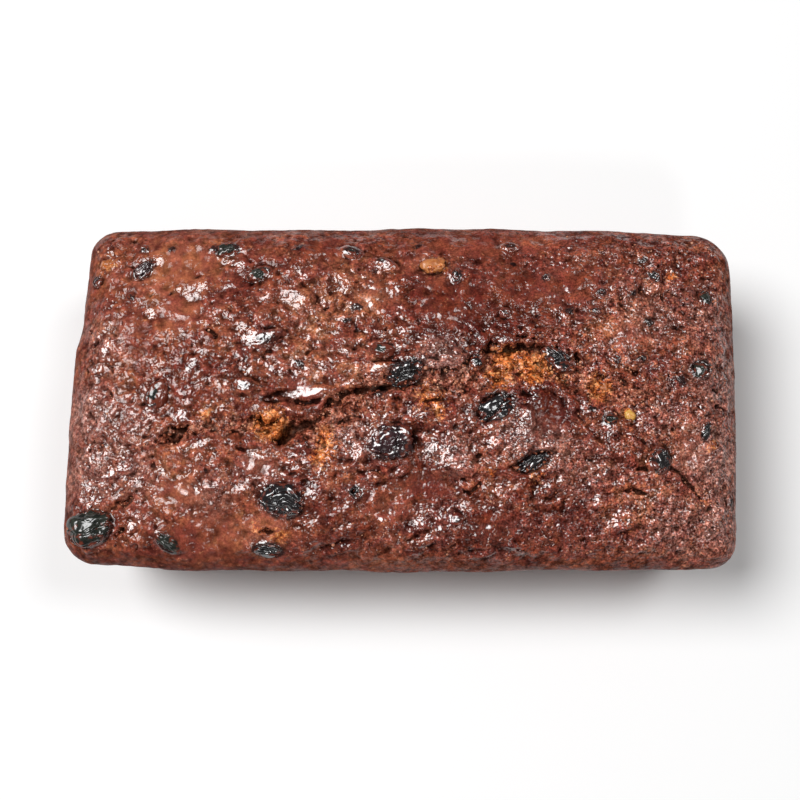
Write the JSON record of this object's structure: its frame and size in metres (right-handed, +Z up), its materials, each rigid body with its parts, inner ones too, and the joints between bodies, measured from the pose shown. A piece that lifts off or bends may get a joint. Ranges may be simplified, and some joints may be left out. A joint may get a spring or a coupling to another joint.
{
  "type": "fruit cake",
  "caption": "Whole loaf-shaped fruit cake with a domed, cracked glossy crust, tapered tin-baked walls, a flat base, and raisins and candied peel set in the crust.",
  "frame": {"origin": "centre of the flat base, at the middle of the cake's bounding box in plan", "axes": "+X along the loaf's length, +Y across it, +Z up out of the domed crust"},
  "size_m": [0.2182, 0.1146, 0.0646],
  "materials": {
    "crust": "semi-gloss baked crust",
    "raisin_skin": "glossy wrinkled skin",
    "candied_peel": "glossy, slightly translucent"
  },
  "bodies": {
    "root": {"loaf": "crust", "raisin_01": "raisin_skin", "raisin_02": "raisin_skin", "raisin_03": "raisin_skin", "raisin_04": "raisin_skin", "raisin_05": "raisin_skin", "raisin_06": "raisin_skin", "raisin_07": "raisin_skin", "raisin_08": "raisin_skin", "raisin_09": "raisin_skin", "raisin_10": "raisin_skin", "raisin_11": "raisin_skin", "raisin_12": "raisin_skin", "raisin_13": "raisin_skin", "raisin_14": "raisin_skin", "raisin_15": "raisin_skin", "raisin_16": "raisin_skin", "raisin_17": "raisin_skin", "raisin_18": "raisin_skin", "raisin_19": "raisin_skin", "raisin_20": "raisin_skin", "raisin_21": "raisin_skin", "raisin_22": "raisin_skin", "raisin_23": "raisin_skin", "raisin_24": "raisin_skin", "raisin_25": "raisin_skin", "raisin_26": "raisin_skin", "raisin_27": "raisin_skin", "raisin_28": "raisin_skin", "raisin_29": "raisin_skin", "raisin_30": "raisin_skin", "raisin_31": "raisin_skin", "raisin_32": "raisin_skin", "raisin_33": "raisin_skin", "raisin_34": "raisin_skin", "raisin_35": "raisin_skin", "raisin_36": "raisin_skin", "raisin_37": "raisin_skin", "raisin_38": "raisin_skin", "raisin_39": "raisin_skin", "raisin_40": "raisin_skin", "raisin_41": "raisin_skin", "raisin_42": "raisin_skin", "raisin_43": "raisin_skin", "raisin_44": "raisin_skin", "raisin_45": "raisin_skin", "raisin_46": "raisin_skin", "raisin_47": "raisin_skin", "raisin_48": "raisin_skin", "peel_1": "candied_peel", "peel_2": "candied_peel", "peel_3": "candied_peel", "peel_4": "candied_peel"}
  },
  "joints": []
}
